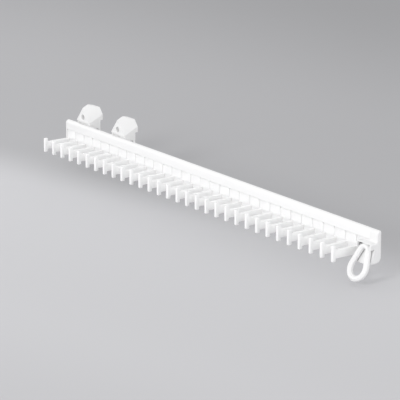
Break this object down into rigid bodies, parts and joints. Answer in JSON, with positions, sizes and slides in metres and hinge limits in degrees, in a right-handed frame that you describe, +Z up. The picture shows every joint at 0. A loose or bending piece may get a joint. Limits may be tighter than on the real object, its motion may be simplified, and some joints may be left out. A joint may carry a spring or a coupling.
{
  "type": "pull-out tie rack",
  "caption": "Sliding wardrobe tie rack: a white rail with a row of thin upturned hooks, a finger ring at its end, and two faceted wall brackets that it slides on.",
  "frame": {"origin": "half way between the two screw holes, on the wall plane", "axes": "+X along the rail to the finger ring, +Y into the wall, +Z up"},
  "size_m": [0.4816, 0.048, 0.0616],
  "materials": {
    "rail_white": "satin white extrusion",
    "hook_white": "satin white moulding",
    "cap_white": "satin white moulding",
    "ring_white": "satin white moulding",
    "bracket_white": "satin white moulding",
    "pin_steel": "plain steel"
  },
  "bodies": {
    "brackets": {"rear_bracket": "bracket_white", "front_bracket": "bracket_white"},
    "rack": {"rail": "rail_white", "hook_01": "hook_white", "hook_02": "hook_white", "hook_03": "hook_white", "hook_04": "hook_white", "hook_05": "hook_white", "hook_06": "hook_white", "hook_07": "hook_white", "hook_08": "hook_white", "hook_09": "hook_white", "hook_10": "hook_white", "hook_11": "hook_white", "hook_12": "hook_white", "hook_13": "hook_white", "hook_14": "hook_white", "hook_15": "hook_white", "hook_16": "hook_white", "hook_17": "hook_white", "hook_18": "hook_white", "hook_19": "hook_white", "hook_20": "hook_white", "hook_21": "hook_white", "hook_22": "hook_white", "hook_23": "hook_white", "hook_24": "hook_white", "hook_25": "hook_white", "hook_26": "hook_white", "hook_27": "hook_white", "hook_28": "hook_white", "hook_29": "hook_white", "hook_30": "hook_white", "hook_31": "hook_white", "rear_end_cap": "cap_white", "front_end_cap": "cap_white", "ring_pin": "pin_steel"},
    "ring": {"pull_ring": "ring_white"}
  },
  "joints": [
    {"name": "rack_slide", "type": "slide", "parent": "brackets", "child": "rack", "axis": [1, 0, 0], "range_m": [-0.36, 0]},
    {"name": "ring_hinge", "type": "hinge", "parent": "rack", "child": "ring", "pos_m": [0.4156, -0.0252, -0.0202], "axis": [-1, 0, 0], "range_deg": [0, 65]}
  ]
}
